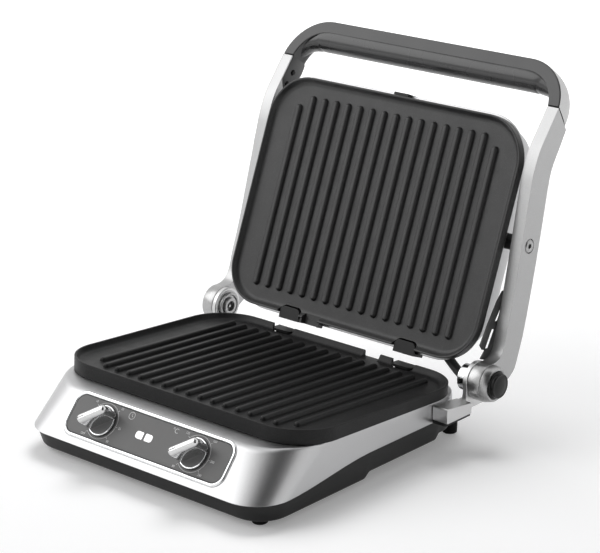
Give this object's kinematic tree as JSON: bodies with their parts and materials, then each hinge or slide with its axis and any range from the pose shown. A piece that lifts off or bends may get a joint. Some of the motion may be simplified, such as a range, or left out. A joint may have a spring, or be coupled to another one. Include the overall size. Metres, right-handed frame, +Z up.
{
  "type": "contact grill",
  "caption": "Countertop contact grill with ribbed plates, a floating upper head on two cast arms, a bar handle and a sloping control panel.",
  "frame": {"origin": "under the middle of the whole grill with its lid open, on the surface that it stands on", "axes": "+X to the right seen from the front, +Y to the back, +Z up"},
  "size_m": [0.3398, 0.4146, 0.3177],
  "materials": {
    "silver": "satin silver",
    "cast": "satin silver paint",
    "chrome": "polished",
    "steel": "turned",
    "non_stick": "fine speckled non-stick",
    "black_plastic": "matte black",
    "gloss_black": "gloss black",
    "grey_panel": "satin grey",
    "handle_grey": "satin dark grey",
    "lens": "milky clear",
    "rubber": "matte",
    "element": "oxidised sheath",
    "heat_pan": "plain",
    "braid": "woven sleeve"
  },
  "bodies": {
    "base": {"lower_housing": "silver", "base_pan": "black_plastic", "foot_front_left": "rubber", "foot_front_right": "rubber", "foot_rear_left": "rubber", "foot_rear_right": "rubber", "control_panel": "grey_panel", "panel_bezel": "chrome", "indicator_lens_left": "lens", "indicator_lens_right": "lens", "indicator_lamp_left": "lens", "indicator_lamp_right": "lens", "timer_switch": "black_plastic", "thermostat": "black_plastic", "lower_heat_pan": "heat_pan", "lower_heating_element": "element", "lower_clip_left": "black_plastic", "lower_clip_right": "black_plastic", "cord_gland": "rubber", "hinge_bracket_right": "cast", "hinge_bracket_left": "cast", "hinge_pin_left": "steel", "hinge_pin_right": "steel", "hinge_boss": "chrome"},
    "lower_plate": {"lower_grill_plate": "non_stick"},
    "drip_tray": {"drip_tray": "black_plastic"},
    "timer_knob": {"timer_dial": "black_plastic", "timer_grip": "chrome", "timer_shaft": "steel"},
    "thermostat_knob": {"thermostat_dial": "black_plastic", "thermostat_grip": "chrome", "thermostat_shaft": "steel"},
    "lid": {"arm_right": "cast", "arm_left": "cast", "pivot_cap_right": "steel", "pivot_cap_left": "steel", "release_collar": "steel", "cable_guide": "black_plastic", "handle_shell": "handle_grey", "handle_grip": "handle_grey", "handle_screw_right_1": "steel", "handle_screw_right_2": "steel", "handle_screw_left_1": "steel", "handle_screw_left_2": "steel", "wire_sleeve": "braid"},
    "release_button": {"release_button": "gloss_black"},
    "head": {"upper_housing": "silver", "upper_frame": "black_plastic", "upper_heat_pan": "heat_pan", "upper_heating_element": "element", "upper_clip_left": "black_plastic", "upper_clip_right": "black_plastic", "pivot_pin_right": "black_plastic", "pivot_pin_left": "black_plastic"},
    "upper_plate": {"upper_grill_plate": "non_stick"},
    "upper_latch": {"upper_latch": "black_plastic"}
  },
  "joints": [
    {"name": "lid_hinge", "type": "hinge", "parent": "base", "child": "lid", "pos_m": [-0.00615, 0.06914, 0.0577], "axis": [-1, 0, 0], "range_deg": [-101.26, 72.3]},
    {"name": "head_tilt", "type": "hinge", "parent": "lid", "child": "head", "pos_m": [-0.00615, 0.12533, 0.16839], "axis": [1, 0, 0], "range_deg": [-5, 7], "deforming": ["wire_sleeve"]},
    {"name": "upper_plate_tip", "type": "hinge", "parent": "head", "child": "upper_plate", "pos_m": [-0.00615, 0.06546, 0.06873], "axis": [1, 0, 0], "range_deg": [0, 12]},
    {"name": "upper_latch_slide", "type": "slide", "parent": "head", "child": "upper_latch", "axis": [0, 0.368, 0.9298], "range_m": [0, 0.003], "stiffness_N_per_m": 250},
    {"name": "lower_plate_tip", "type": "hinge", "parent": "base", "child": "lower_plate", "pos_m": [-0.00615, 0.06206, 0.05391], "axis": [-1, 0, 0], "range_deg": [0, 12]},
    {"name": "drip_tray_slide", "type": "slide", "parent": "base", "child": "drip_tray", "axis": [0, -1, 0], "range_m": [-0.085, 0]},
    {"name": "release_button_press", "type": "slide", "parent": "lid", "child": "release_button", "axis": [-1, 0, 0], "range_m": [0, 0.0033], "stiffness_N_per_m": 300},
    {"name": "timer_turn", "type": "hinge", "parent": "base", "child": "timer_knob", "pos_m": [-0.05965, -0.18673, 0.04292], "axis": [0, 0.7683, -0.6401], "range_deg": [0, 300]},
    {"name": "thermostat_turn", "type": "hinge", "parent": "base", "child": "thermostat_knob", "pos_m": [0.04735, -0.18673, 0.04292], "axis": [0, 0.7683, -0.6401], "range_deg": [0, 270]}
  ],
  "couplings": [
    {"joint": "head_tilt", "follows": "lid_hinge", "ratio": -0.063243}
  ]
}
